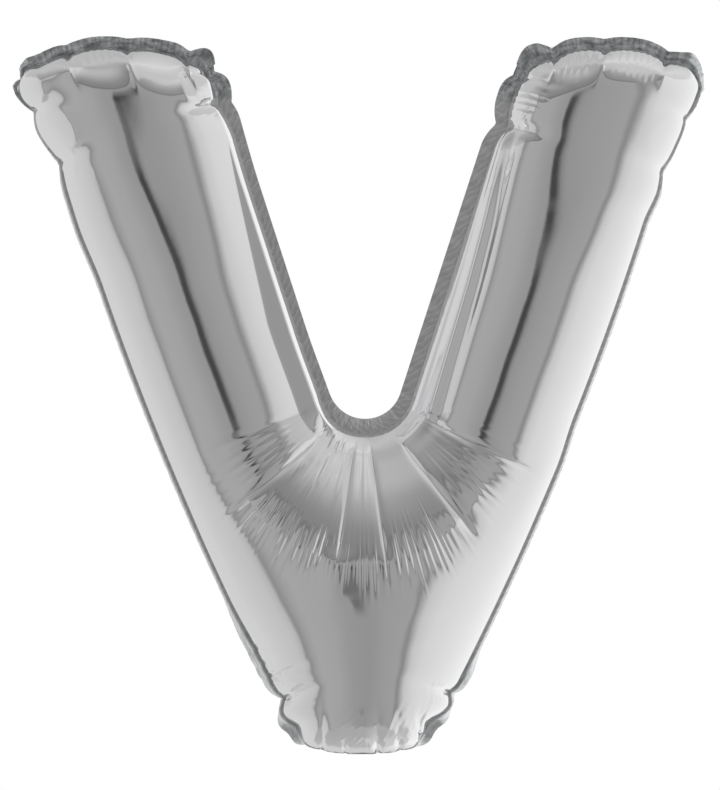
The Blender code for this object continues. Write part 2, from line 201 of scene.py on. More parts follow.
# Pillows between two pinches of a side: from and to along the edge, how far each reaches into the letter,
# and the height of the soft ridge where it ends
pillows = listOf(
    "arm edge from to reach ridge",
    (-1, "outer", 130.8, 151.0, 13.0, 1.4),
    (-1, "outer", 107.4, 130.8, 18.0, 1.4),
    (-1, "inner", 135.3, 154.0, 14.5, 1.3),
    (1, "inner", 125.5, 148.5, 12.0, 1.0),
    (1, "outer", 103.8, 128.3, 13.0, 0.3),
)

# The power of a pillow's rounded line, and over what length it falls beyond it
pillowForm = {"squareness": 2.6, "fall": 4.0}

# Gathers, square to the weld: from and to along the edge, how far they run in, spacing and height
gathers = listOf(
    "arm edge from to reach length height",
    (1, "top", 0.20, 0.43, 17, 3.4, 0.15),
    (1, "top", 0.49, 0.78, 15, 3.1, 0.17),
    (-1, "top", 0.44, 0.66, 9, 3.6, 0.14),
    (1, "inner", 124.0, 149.0, 16, 3.4, 0.16),
    (-1, "inner", 130.0, 141.0, 15, 3.6, 0.08),
)
# How steeply they fade at both ends, how ragged they run out and over what length, and how their lines
# wander along the edge and inwards
gatherForm = {"endSlope": 5, "ragged": (0.18, 9), "fall": 3, "along": 23, "inwards": (0.4, 14)}

# Creases that run out from the notch, each a narrow groove along the bottom of a wide shallow valley, with
# start and end in the letter's plane. The last two are soft folds below the fan, the first of them a ridge.
creases = listOf(
    "start end depth valley width power",
    ((-12.8, -13.0), (-60.0, -54.0), 0.9, 0.8, 1.1, 1.2),
    ((-3.2, -18.0), (-11.4, -76.0), 0.8, 0.7, 1.1, 1.2),
    ((2.8, -18.0), (11.0, -76.0), 0.8, 0.7, 1.1, 1.2),
    ((11.6, -14.0), (51.6, -65.0), 0.9, 0.8, 1.1, 1.2),
    ((20.0, -6.5), (82.0, -37.0), 0.9, 0.7, 1.1, 1.2),
    ((-21.0, -4.5), (-72.0, -27.0), 0.3, 0.5, 1.1, 1.2),
    ((-13.5, -68.0), (-11.5, -94.0), -0.5, 0.0, 7.0, 2),
    ((-16.0, -86.0), (22.0, -99.0), 0.26, 0.0, 5.0, 2),
)
# How wide the valleys are, over what share of its length a crease starts and ends, and how it widens
creaseForm = {
    "valleyWidth": 8.0, "starts": 0.3, "ends": 0.2, "end": 1.06, "widens": (0.7, 0.6),
    # The back creases along lines of its own: their x times the first number, plus the second
    "backStart": (0.9, 1.5), "backEnd": (1.06, -3.0),
}

# The fan below the notch ends in a soft ridge, an arc about the notch
fanRidge = {
    "radius": 85.0,
    "sideRadius": 74.0,
    "start": 44.0,
    "height": 1.7,
    "fall": 13.0,
    "spread": radians(56),
    "sideFade": 0.3,
}

# Fine wrinkles in a ring about the notch, where the film turns from the fan to the full round.
# Each set: middle and spread of its angle in degrees from straight down, radius, band, spacing and height.
ripples = listOf(
    "angle spread radius band length height",
    (-24, 20, 79.0, 9.0, 2.5, 0.25),
    (12, 20, 82.0, 11.0, 2.9, 0.17),
    (-55, 12, 63.0, 23.0, 4.0, 0.14),
    (53, 15, 68.0, 18.0, 3.4, 0.13),
    (-22, 22, 47.0, 10.0, 6.4, 0.22),
    (66, 14, 38.0, 9.0, 4.2, 0.16),
    (-24, 16, 31.0, 5.0, 3.4, 0.12),
)
# By what share their radius, band and height wander, and their phase in radians, over what angle in radians
rippleForm = {
    "radius": (0.05, 0.6), "band": (0.4, 0.13), "height": (0.8, 0.19), "phase": (2.2, 0.4),
    "bandPower": 2.5, "spreadPower": 4, "lowest": 0.1, "second": 0.5, "secondPhase": 1.62,
}

# Long folds beside the notch's weld, up the right arm: their distance from the weld over the film at both
# ends. Each is a narrow stretch where the film turns to the front between two steeper ones, and dies out
# towards the top over a share of the arm.
pleats = listOf(
    "arm low high height width fade",
    (1, 13.0, 12.0, 0.5, 1.8, 0.08),
    (1, 25.0, 20.0, 1.8, 4.2, 0.08),
)
# They start at a share of the notch's arc, over a length, and end at a share of the arm
pleatForm = {"start": 0.25, "over": 24, "end": 0.84}


def smooth(x):  # 0 to 1 with level ends
    x = np.clip(x, 0, 1)
    return x * x * (3 - 2 * x)


def grown(z, step):  # a share that grows from 0 above a height, over a length
    return step["share"] * smooth((z - step["height"]) / step["length"])


def facets(x):  # a wave of straight slopes, as long and as high as a sine
    return np.arcsin(np.sin(x)) * 2 / pi


def wander(x, length, seed):  # a slow irregular wave: four sines whose lengths don't divide each other
    total = 0
    for n, ratio in enumerate((1.0, 1.73, 2.61, 4.13)):
        total = total + np.sin(2 * pi * x * ratio / length + seed * (2.4 + 1.7 * n)) / ratio**0.7
    return total / 2.1


def innerPlace(z):  # the distance along the notch's weld from its lowest point to a height on an arm
    lean, radius = letter["armLean"], letter["notchRadius"]
    return radius * (pi / 2 - lean) + (z - (letter["notchCentreZ"] - radius * sin(lean))) / cos(lean)


innerLength = innerPlace(letter["topInnerZ"])


def innerFlare(x, z):  # how much nearer the notch's middle an arm's inner edge lies near its top
    flare = np.where(x < 0, *letter["innerFlare"])
    return flare * smooth((z - letter["flareStartZ"]) / (letter["topInnerZ"] - letter["flareStartZ"]))


def notchShift(x, z):  # how far right the notch's weld lies: the same all round it, but less up the left arm
    height, length = letter["notchShiftEnds"]
    return letter["notchShift"] * np.where(x < 0, 1 - smooth((z - height) / length), 1)


def innerWeld(s):
    # An arc under the notch, then straight lines up the arms that lean in a little at the top.
    # s is the distance from the arc's lowest point, below zero on the left.
    turn = pi / 2 - letter["armLean"]
    angle = np.minimum(np.abs(s) / letter["notchRadius"], turn)
    beyond = np.maximum(np.abs(s) - letter["notchRadius"] * turn, 0)
    x = letter["notchRadius"] * np.sin(angle) + beyond * sin(letter["armLean"])
    z = letter["notchCentreZ"] - letter["notchRadius"] * np.cos(angle) + beyond * cos(letter["armLean"])
    return np.sign(s) * (x - innerFlare(s, z)) + notchShift(s, z), z


def outerHalfWidth(z):
    # From the letter's middle to its outer weld: the chord from ankle to shoulder, bowed out, which
    # eases into the foot's round corner, part of a superellipse.
    corner, soft, power = letter["footCornerZ"], letter["footSoftness"], letter["footSquareness"]
    eased = corner + soft * np.log1p(np.exp((z - corner) / soft))
    share = (eased - letter["ankleZ"]) / (letter["shoulderZ"] - letter["ankleZ"])
    chord = letter["ankleX"] + (letter["shoulderX"] - letter["ankleX"]) * share
    down = np.clip((corner - z) / (corner - letter["footBottomZ"]), 0, 1)
    return (chord + 4 * letter["edgeBow"] * share * (1 - share)) * (1 - down**power) ** (1 / power)


def outerFlare(x, z):  # how much further out an arm's edge lies than the bowed line, mostly near its top
    flare = np.where(x < 0, *letter["outerFlare"])
    flare = flare * smooth((z - letter["flareStartZ"]) / (letter["topOuterZ"] - letter["flareStartZ"]))
    overFoot = smooth((z - letter["footBottomZ"]) / letter["stepsEnd"])
    for steps, side in ((letter["leftSteps"], x < 0), (letter["rightSteps"], x >= 0)):
        for height, length, out in steps:
            flare = flare + side * out * smooth((z - height) / length) * overFoot
    return flare


def outerPath():  # points from the foot's lowest one up the right side, with their distances
    count = 3000
    down = np.maximum(np.cos(np.linspace(0, pi / 2, count)), 0) ** (2 / letter["footSquareness"])
    footZ = letter["footCornerZ"] - (letter["footCornerZ"] - letter["footBottomZ"]) * down
    z = np.concatenate([footZ, np.linspace(letter["footCornerZ"], letter["topOuterZ"], count)[1:]])
    x = outerHalfWidth(z)
    return x, z, np.concatenate([[0], np.cumsum(np.hypot(np.diff(x), np.diff(z)))])


outerX, outerZ, outerDistance = outerPath()


def outerPlace(s):  # how far round the outer weld the line across from s ends
    s = np.abs(s)
    levelled = smooth((s - letter["levelStart"]) / (innerLength - letter["levelStart"]))
    spread = letter["fanSpread"] * (1 - np.exp(-((s / letter["fanCore"]) ** 2)))
    return s + spread + (outerDistance[-1] - innerLength - letter["fanSpread"]) * levelled


def outerWeld(s):
    place = outerPlace(s)
    x, z = np.interp(place, outerDistance, outerX), np.interp(place, outerDistance, outerZ)
    return np.sign(s) * (x + outerFlare(s, z)), z


def stations():
    # The lines across the letter, as distances along the notch's weld: even along the letter's
    # middle line but closer in the fan, and closing up over the caps as the film turns under.
    lengths = np.linspace(0, innerLength, film["samples"])
    middle = (lengths + outerPlace(lengths)) / 2
    body = middle < middle[-1] - film["capLines"]
    density = 1 + film["fanDensity"] * np.exp(-((middle[body] / film["fanLength"]) ** 4))
    count = np.concatenate([[0], np.cumsum(np.diff(middle[body]) * density[1:])])
    along = np.interp(np.linspace(0, count[-1], film["linesAlong"]), count, middle[body])
    turn = np.linspace(pi / 2, 0, film["linesOverCap"] + 1)[1:]
    over = along[-1] + (middle[-1] - along[-1]) * np.cos(turn)
    half = np.interp(np.concatenate([along, over]), middle, lengths)
    return np.concatenate([-half[:0:-1], half])


def shares():  # closer together near the weld
    return (1 - np.cos(np.linspace(0, pi, film["linesAcross"]))) / 2


def planeGrid(s, v):  # straight lines from weld to weld, bowed up over each arm's top
    innerX, innerZ = innerWeld(s)
    farX, farZ = outerWeld(s)
    x = innerX[:, None] * (1 - v) + farX[:, None] * v
    z = innerZ[:, None] * (1 - v) + farZ[:, None] * v
    nearTop = 1 - smooth((innerLength - np.abs(s)) / letter["topRiseReach"])
    return x, z + letter["topRise"] * 4 * v * (1 - v) * nearTop[:, None] ** 2


def toWelds(x, z):
    # Distances in the letter's plane: to the left outer weld, the right one and the notch's (its arc from
    # below, its lines from beside), and to the arm's own top along each line down it.
    width = outerHalfWidth(z)
    a = film["sideSlant"] * np.maximum(width + outerFlare(-1 + 0 * x, z) + x, 0)
    b = film["sideSlant"] * np.maximum(width + outerFlare(1 + 0 * x, z) - x, 0)
    beside, up = np.abs(x - notchShift(x, z)), z - letter["notchCentreZ"]
    belowArc = np.arctan2(beside, -up) < pi / 2 - letter["armLean"]
    toLine = beside * cos(letter["armLean"]) - up * sin(letter["armLean"])
    notch = np.where(belowArc, np.hypot(beside, up), toLine) - letter["notchRadius"]
    c = np.maximum(notch + innerFlare(x, z) * cos(letter["armLean"]), 0)
    top = np.where(np.arange(len(x)) < len(x) // 2, 0, len(x) - 1)
    return a, b, c, np.hypot(x - x[top], z - z[top])


def capPart(v, left, below):
    # The share of its full height that the film has below an arm's top. Between two pinches a round curve,
    # (1 - (1 - below/length)^r)^(1/r), and at a pinch the same but shorter and straighter.
    corner = film["innerPinch"]
    inCorner = left * (1 - smooth((v - corner["until"]) / corner["over"]))
    short = film["pinchedLength"] * (1 - corner["shorter"] * inCorner)
    pillow, length = np.zeros_like(below), short
    for cap in caps:
        place = (v - cap["from"]) / (cap["to"] - cap["from"])
        here = (place > 0) & (place < 1) & (left if cap["arm"] < 0 else ~left)
        rounded = np.clip(4 * place * (1 - place), 0, 1) ** film["pillowRoundness"]
        pillow = np.where(here, rounded, pillow)
        length = np.where(here, cap["length"], length)
    r = film["capRoundness"]
    full = (1 - (1 - np.minimum(below / length, 1)) ** r) ** (1 / r)
    r = film["pinchedRoundness"]
    pinched = (1 - (1 - np.minimum(below / short, 1)) ** r) ** (1 / r)
    return pinched + (full - pinched) * pillow


def armSection(x, z, c, outer):
    # The film's height across an arm as a share of a circle's, with t from 0 at the ridge to 1 at a weld: a
    # superellipse, (1 - t^q)^(1/q). On the left arm's inner side it is 1 - drop*t^power, with t held nearly
    # still over the ledge, times a wall (1 - u^w)^(1/w), where u rises from 0 to 1 at the weld.
    across = (c - outer) / np.maximum(c + outer, 1)
    t, square = np.minimum(np.abs(across), film["sectionEnd"]), film["squareness"]
    nearTop = smooth((z - square["height"]) / square["length"])
    square = np.where(across < 0, square["inner"], square["outer"])
    q = 2 + (square - 2) * nearTop * (x > 0)
    section = (1 - t**q) ** (1 / q)
    ledge = shoulder["ledge"] * np.clip((shoulder["ledgeTop"] - z) / shoulder["ledgeGrows"], 0, 1)
    held = shoulder["held"] * np.maximum(shoulder["wall"] + ledge - c, 0)
    power = shoulder["power"][0] + (shoulder["power"][1] - shoulder["power"][0]) * nearTop
    drop = shoulder["drop"][0] + (shoulder["drop"][1] - shoulder["drop"][0]) * nearTop
    falling = 1 - drop * np.clip(t - 2 * held / np.maximum(c + outer, 1), 0, 1) ** power
    w = shoulder["wallPower"]
    wall = (1 - np.clip(1 - c / shoulder["wall"], 0, 1) ** w) ** (1 / w)
    low, high = shoulder["angles"]
    part = smooth((np.arctan2(-x, letter["notchCentreZ"] - z) - low) / (high - low)) * (across < 0)
    section += part * (falling * wall - section)
    bend = film["ridgeBend"]
    bent = bend["share"] * np.exp(-(((z - bend["height"]) / bend["length"]) ** 2))
    shift = np.where(x < 0, bent - grown(z, film["bendBack"]), grown(z, film["ridgeShift"]))
    return section / np.sqrt(1 - t * t) * (1 + shift * across)


def standOut(v, x, z, a, b, c, below):
    # The film stands out by the root of a*b*c over their power mean: round across each arm and across the
    # foot, and fullest where the arms meet.
    power = film["junctionPower"]
    mean = np.maximum(a**power + b**power + c**power, 1e-9) ** (1 / power)
    height = film["fullness"] * np.sqrt(a * b * c / mean) * armSection(x, z, c, np.where(x < 0, a, b))
    height = height * capPart(v, x < 0, below)
    height[[0, -1]] = 0
    height[:, [0, -1]] = 0
    return height


def roundCorners(s, v, x, z):
    # Draws the square patch at each corner of an arm's top into a quarter disc: with p and q from 0 at the
    # patch's inner sides to 1 at the edges, p becomes p*sqrt(1 - q^2/2) and q becomes q*sqrt(1 - p^2/2)
    radius, rows = film["cornerRadius"], film["linesOverCap"]
    top, lower = (np.where(s < 0, n, len(s) - 1 - n) for n in (0, rows))
    downX, downZ = x[lower] - x[top], z[lower] - z[top]
    down = np.hypot(downX, downZ)
    acrossX, acrossZ = x[:, -1:] - x[:, :1], z[:, -1:] - z[:, :1]
    wide = np.hypot(acrossX, acrossZ)
    p = np.clip(1 - np.hypot(x - x[top], z - z[top]) / radius, 0, 1)
    moved = np.zeros_like(x), np.zeros_like(x)
    for share, sign in ((v, 1), (1 - v, -1)):
        q = np.clip(1 - share * wide / radius, 0, 1)
        inwards = radius * q * (1 - np.sqrt(1 - p * p / 2)) * sign / wide
        below = radius * p * (1 - np.sqrt(1 - q * q / 2)) / down
        moved[0][:] += inwards * acrossX + below * downX
        moved[1][:] += inwards * acrossZ + below * downZ
    return x + moved[0], z + moved[1]


def loopOf(grid):  # the rim: notch's weld left to right, right top, outer weld, left top
    return np.concatenate([grid[:, 0], grid[-1, 1:], grid[-2::-1, -1], grid[0, -2:0:-1]])


def putOnRim(grid, loop):
    rows, columns = grid.shape
    grid[:, 0] = loop[:rows]
    grid[-1, 1:] = loop[rows : rows + columns - 1]
    grid[-2::-1, -1] = loop[rows + columns - 1 : 2 * rows + columns - 2]
    grid[0, -2:0:-1] = loop[2 * rows + columns - 2 :]
    return grid


def outward(x, z):  # unit normals that point out of the letter, round its rim
    alongX, alongZ = np.roll(x, -1) - np.roll(x, 1), np.roll(z, -1) - np.roll(z, 1)
    length = np.hypot(alongX, alongZ)
    return -alongZ / length, alongX / length


def layOut():
    # The flat letter: every grid point, its distance inwards from each edge, and the distance along that
    # edge of the nearest point on it. Lengths are in the letter's plane.
    s, v = stations(), shares()
    x, z = planeGrid(s, v)
    a, b, c, below = toWelds(x, z)
    outer = np.where(x < 0, a, b)
    beside, up = np.abs(x - notchShift(x, z)), z - letter["notchCentreZ"]
    turn = np.minimum(np.arctan2(beside, -up), pi / 2 - letter["armLean"])
    upArm = np.maximum(beside * sin(letter["armLean"]) + up * cos(letter["armLean"]), 0)
    rim = np.interp(z - outer * np.sqrt(1 - film["sideSlant"] ** 2), outerZ, outerDistance)
    width = np.hypot(x[:, -1] - x[:, 0], z[:, -1] - z[:, 0])[[0, -1]]
    onFoot = outerZ <= letter["footCornerZ"]
    footZ, footAlong = (np.interp(np.abs(x), outerX[onFoot], of[onFoot]) for of in (outerZ, outerDistance))
    footReach, farAway = 40, 200.0  # beside the foot nothing is near its bottom
    footInwards = np.where(np.abs(x) < footReach, z - footZ, farAway)
    left = x < 0
    x, z = roundCorners(s, v, x, z)
    return {
        "s": s, "v": v, "x": x, "z": z, "welds": (a, b, c, below), "left": left,
        "inwards": {"top": below, "inner": c, "outer": outer, "foot": footInwards},
        "along": {
            "top": v[None, :] * np.where(s < 0, *width)[:, None],
            "inner": letter["notchRadius"] * turn + upArm,
            "outer": rim,
            "foot": footAlong,
        },
        "topWidth": width,
    }


def placeOn(plan, edge, arm, place):
    # The distance along an edge of a place on it, as the tables give it
    if edge == "top":
        return place * plan["topWidth"][0 if arm < 0 else 1]
    if edge == "foot":
        return np.interp(place, outerX[: len(outerX) // 2], outerDistance[: len(outerX) // 2])
    if edge == "outer":
        return np.interp(place, outerZ, outerDistance)
    return innerPlace(place)


def onArm(plan, arm):
    return plan["left"] if arm < 0 else ~plan["left"]


def drawnIn(plan, marks):
    # How far the weld is drawn in at each point of the rim: a cusp at each pinch, and a rounded step at each
    # swell or lobe. Distances run up an arm's inner side, over its top and down its outer side.
    s, v = plan["s"], plan["v"]
    drawn, farAway = np.zeros_like(plan["x"]), 1e6
    for arm, top in ((-1, 0), (1, -1)):
        width = plan["topWidth"][top]
        outerEnd = innerLength + width + outerPlace(innerLength)
        around = np.full_like(drawn, farAway)
        around[:, 0] = np.abs(s)
        around[:, -1] = outerEnd - outerPlace(s)
        around[np.sign(s) != arm] = farAway
        around[top] = innerLength + v * width
        for mark in (mark for mark in marks if mark["arm"] == arm):
            at = placeOn(plan, mark["edge"], arm, mark["place"])
            if mark["edge"] == "top":
                at = innerLength + at
            elif mark["edge"] != "inner":
                at = outerEnd - at
            near = np.maximum(1 - np.abs(around - at) / mark["reach"], 0)
            drawn += mark["pull"] * near**2 if "pull" in mark else -mark["push"] * smooth(near)
    return drawn


def spreadInwards(plan, rimValues):  # values on the rim, carried inwards and fading
    s, left, reach = plan["s"], plan["left"], film["drawnReach"]
    total = np.where(left, rimValues[:1], rimValues[-1:]) * np.exp(-plan["inwards"]["top"] / reach)
    for edge, column, place in (("inner", 0, np.abs(s)), ("outer", -1, outerPlace(s))):
        for ours, side in ((s < 0, left), (s > 0, ~left)):
            order = np.argsort(place[ours])
            value = np.interp(plan["along"][edge], place[ours][order], rimValues[ours, column][order])
            total += side * value * np.exp(-plan["inwards"][edge] / reach)
    return total


def surfaceNormals(points, side):
    alongS, alongV = np.gradient(points, axis=0), np.gradient(points, axis=1)
    normal = np.cross(alongS, alongV)
    normal = normal / np.maximum(np.linalg.norm(normal, axis=2, keepdims=True), 1e-9)
    return normal * np.sign(normal[len(points) // 2, points.shape[1] // 2, 1] * side)


def pinchForms(plan, side):
    # At each pinch a sharp groove that widens and fades inwards, and beside it folds that fan out
    push, form = np.zeros_like(plan["x"]), pinchForm
    for n, pinch in enumerate(pinches):
        edge, arm = pinch["edge"], pinch["arm"]
        offset = plan["along"][edge] - placeOn(plan, edge, arm, pinch["place"])
        inward = plan["inwards"][edge] / pinch["run"]
        opening = pinch["width"] * (form["opens"] + inward)
        groove = np.maximum(1 - np.abs(offset) / opening, 0) ** form["sharpness"]
        groove = pinch["depth"] * np.exp(-(inward**2)) * groove
        fan = (offset + pinch["slant"] * plan["inwards"][edge]) / (form["fan"] + inward)
        ragged = inward * (1 + form["ragged"] * wander(fan, 5, n + side))
        lift = np.exp(-((fan / (form["reach"] * pinch["width"])) ** 2)) * np.exp(-(ragged**3))
        waves = facets(2 * pi * fan / form["folds"] + 0.7 * wander(fan, 11, n))
        waves = waves * (1 + 0.5 * wander(fan, 7, n + 3))
        push += (pinch["crinkle"] * lift * waves - groove) * onArm(plan, arm)
    return push


def pillowForms(plan):
    # Each pillow rises to a soft ridge along a rounded line between its two pinches, and falls beyond it
    push = np.zeros_like(plan["x"])
    power, fall = pillowForm["squareness"], pillowForm["fall"]
    for pillow in pillows:
        edge, arm = pillow["edge"], pillow["arm"]
        start, end = sorted(placeOn(plan, edge, arm, pillow[key]) for key in ("from", "to"))
        place = np.clip((plan["along"][edge] - start) / (end - start), 0, 1)
        share = (1 - np.abs(2 * place - 1) ** power) ** (1 / power)
        reach, inward = np.maximum(pillow["reach"] * share, 0.5), plan["inwards"][edge]
        share = share + (4 * place * (1 - place) - share) * smooth((inward - reach) / fall)
        tent = np.where(inward < reach, inward / reach, np.exp(-(inward - reach) / fall))
        push += pillow["ridge"] * share * tent * onArm(plan, arm)
    return push


def gatherForms(plan):  # fine ripples that run in from the weld and end raggedly
    push, form = np.zeros_like(plan["x"]), gatherForm
    for n, gather in enumerate(gathers):
        edge = gather["edge"]
        along, down = plan["along"][edge], plan["inwards"][edge]
        start, end = (placeOn(plan, edge, gather["arm"], gather[key]) for key in ("from", "to"))
        place = np.clip((along - start) / (end - start), 0, 1)
        fade = smooth(form["endSlope"] * place) * smooth(form["endSlope"] * (1 - place))
        reach = gather["reach"] * (1 + form["ragged"][0] * wander(along, form["ragged"][1], n))
        fade = fade * smooth((reach - down) / form["fall"])
        phase = 2 * pi * along / gather["length"] + wander(along, form["along"], n)
        waves = np.sin(phase + form["inwards"][0] * wander(down, form["inwards"][1], n))
        push += gather["height"] * fade * waves * onArm(plan, gather["arm"])
    return push


def creaseForms(side, x, z):
    push = np.zeros_like(x)
    form = creaseForm
    for crease in creases:
        (startX, startZ), (endX, endZ) = crease["start"], crease["end"]
        if side > 0:
            startX = startX * form["backStart"][0] + form["backStart"][1]
            endX = endX * form["backEnd"][0] + form["backEnd"][1]
        length = np.hypot(endX - startX, endZ - startZ)
        dirX, dirZ = (endX - startX) / length, (endZ - startZ) / length
        along = ((x - startX) * dirX + (z - startZ) * dirZ) / length
        across = np.abs((x - startX) * dirZ - (z - startZ) * dirX)
        fade = smooth(along / form["starts"]) * smooth((form["end"] - along) / form["ends"])
        width = crease["width"] * (form["widens"][0] + form["widens"][1] * np.clip(along, 0, 1))
        push -= crease["depth"] * fade * np.exp(-((across / width) ** crease["power"]))
        push -= crease["valley"] * fade * np.exp(-across / form["valleyWidth"])
    radius = np.hypot(x, z - letter["notchCentreZ"])
    angle = np.abs(np.arctan2(x, letter["notchCentreZ"] - z)) / fanRidge["spread"]
    ring = fanRidge["radius"] + (fanRidge["sideRadius"] - fanRidge["radius"]) * smooth(angle)
    inside = np.clip((radius - fanRidge["start"]) / (ring - fanRidge["start"]), 0, 1)
    tent = np.where(radius < ring, inside, np.exp(-(radius - ring) / fanRidge["fall"]))
    push += fanRidge["height"] * tent * smooth((1 - angle) / fanRidge["sideFade"])
    return push


def rippleForms(side, x, z):
    # Radial wrinkles: sharp-edged waves round the notch, in ragged groups of uneven length and height
    radius = np.hypot(x, z - letter["notchCentreZ"])
    angle = np.arctan2(x, letter["notchCentreZ"] - z)
    push, form = np.zeros_like(x), rippleForm

    def stray(key, seed):
        return form[key][0] * wander(angle, form[key][1], seed)

    for n, ripple in enumerate(ripples):
        seed = n + side
        ring = ripple["radius"] * (1 + stray("radius", 3 + seed))
        band = ripple["band"] * (1 + stray("band", 5 + seed))
        beside = (angle - radians(ripple["angle"])) / radians(ripple["spread"])
        fade = np.exp(-(np.abs((radius - ring) / band) ** form["bandPower"]))
        fade = fade * np.exp(-(np.abs(beside) ** form["spreadPower"]))
        strength = ripple["height"] * np.maximum(1 + stray("height", 8 + seed), form["lowest"])
        phase = 2 * pi * angle * ripple["radius"] / ripple["length"] + stray("phase", seed)
        waves = facets(phase) + form["second"] * facets(form["secondPhase"] * phase + 1 + radius / 9)
        push += strength * fade * waves
    return push


def pleatForms(s, fromInner):
    push = np.zeros_like(fromInner)
    arcEnd = letter["notchRadius"] * (pi / 2 - letter["armLean"])
    upArm = np.clip((np.abs(s) - arcEnd) / (innerLength - arcEnd), 0, 1)[:, None]
    for pleat in pleats:
        place = pleat["low"] + (pleat["high"] - pleat["low"]) * upArm
        fade = smooth((np.abs(s) - pleatForm["start"] * arcEnd) / pleatForm["over"])[:, None]
        fade = fade * smooth((pleatForm["end"] - upArm) / pleat["fade"])
        fade = fade * (np.sign(s) == pleat["arm"])[:, None]
        away = (fromInner - place) / pleat["width"]
        push -= pleat["height"] * fade * away * np.exp(-(away**2))
    return push


def filmPoints(side):
    # Every point of one film: the full form, then grooves, pillows, folds and wrinkles that push it in or
    # out along its own normal, and the rim drawn in at the pinches. side is -1 in front and 1 behind.
    plan = layOut()
    s, v, x, z = plan["s"], plan["v"], plan["x"], plan["z"]
    height = standOut(v, x, z, *plan["welds"])
    base = np.stack([x, side * (film["rimGap"] + height), z], 2)
    steps = np.linalg.norm(np.diff(base, axis=1), axis=2)
    fromInner = np.concatenate([np.zeros((len(s), 1)), np.cumsum(steps, axis=1)], 1)

    push = pinchForms(plan, side) + pillowForms(plan) + gatherForms(plan)
    push += creaseForms(side, x, z) + rippleForms(side, x, z)
    corner = np.where(plan["left"], 0, len(x) - 1)
    toCorner = np.hypot(x - x[corner, 0], z - z[corner, 0])
    near, length = film["formsCorner"]
    push = push * smooth(height / film["formsHeight"]) * smooth((toCorner - near) / length)
    push += pleatForms(s, fromInner) * smooth(height / film["pleatsHeight"])
    full, along = smooth(height / film["wavesHeight"]), s[:, None] + 0 * v
    rise, length = film["wavesAlong"]
    push += rise * full * wander(along, length, 2 + side) * np.sin(pi * v)
    rise, width, length = film["wavesAcross"]
    push += rise * full * wander(fromInner, width, 4 + side) * wander(along, length, 7)

    normalX, normalZ = outward(loopOf(x), loopOf(z))
    drawn = drawnIn(plan, pinches + swells)
    (start, rising), (end, falling) = film["overhangStarts"], film["overhangEnds"]
    bulging = smooth((np.abs(s) - start) / rising) * (1 - smooth((innerWeld(s)[1] - end) / falling))
    drawn[:, 0] -= np.where(s < 0, *film["overhang"]) * bulging
    end, falling = film["footOverhangEnds"]
    drawn[:, -1] -= film["footOverhang"] * smooth((end - outerWeld(s)[1]) / falling) * (side < 0)
    drawn = loopOf(drawn)
    pullX = putOnRim(np.zeros_like(x), -normalX * drawn)
    pullZ = putOnRim(np.zeros_like(z), -normalZ * drawn)
    inside = np.zeros_like(x, bool)
    inside[1:-1, 1:-1] = True
    points = base + surfaceNormals(base, side) * (push * inside)[:, :, None]
    points[:, :, 0] += np.where(inside, spreadInwards(plan, pullX), pullX)
    points[:, :, 2] += np.where(inside, spreadInwards(plan, pullZ), pullZ)
    points[:, :, 1] = side * np.maximum(side * points[:, :, 1], film["rimGap"])
    return points


def meshObject(name, points, faces, material, uv=None):
    mesh = bpy.data.meshes.new(name)
    mesh.from_pydata((np.asarray(points) * mm).tolist(), [], faces)
    mesh.update()
    mesh.shade_smooth()
    mesh.set_sharp_from_angle(angle=radians(70))
    mesh.materials.append(material)
    if uv is not None:
        layer = mesh.uv_layers.new(name="millimetres")
        loops = np.empty(len(mesh.loops), np.int32)
        mesh.loops.foreach_get("vertex_index", loops)
        layer.data.foreach_set("uv", np.asarray(uv, np.float32)[loops].ravel())
    made = bpy.data.objects.new(name, mesh)
    bpy.context.scene.collection.objects.link(made)
    return made


def filmPanel(name, side, material):
    # The film, closed by a flat lid in the plane of the weld, where the other film hides it
    points = filmPoints(side)
    rows, columns = points.shape[:2]
    number = np.arange(rows * columns).reshape(rows, columns)
    quads = np.stack([number[:-1, :-1], number[:-1, 1:], number[1:, 1:], number[1:, :-1]], 2).reshape(-1, 4)
    lid = np.stack([number[:-1, 0], number[1:, 0], number[1:, -1], number[:-1, -1]], 1)
    ends = [number[0, ::-1].tolist(), number[-1].tolist()]
    faces = quads.tolist() + lid.tolist() + ends
    if side > 0:
        faces = [face[::-1] for face in faces]
    piece = meshObject(name, points.reshape(-1, 3), faces, material)
    print(name, rows, "by", columns, "lines,", len(faces), "faces")
    return piece


def tubeObject(name, points, material, uv, turned=False):
    # Rings of points joined to a closed surface, the last ring to the first
    count, around = points.shape[:2]
    number = np.arange(count * around).reshape(count, around)
    onward = np.roll(number, -1, 0)
    corners = [number, onward, np.roll(onward, -1, 1), np.roll(number, -1, 1)]
    if turned:
        corners[1:] = corners[:0:-1]
    faces = np.stack(corners, 2).reshape(-1, 4)
    print(name, len(faces), "faces")
    return meshObject(name, points.reshape(-1, 3), faces.tolist(), material, uv)


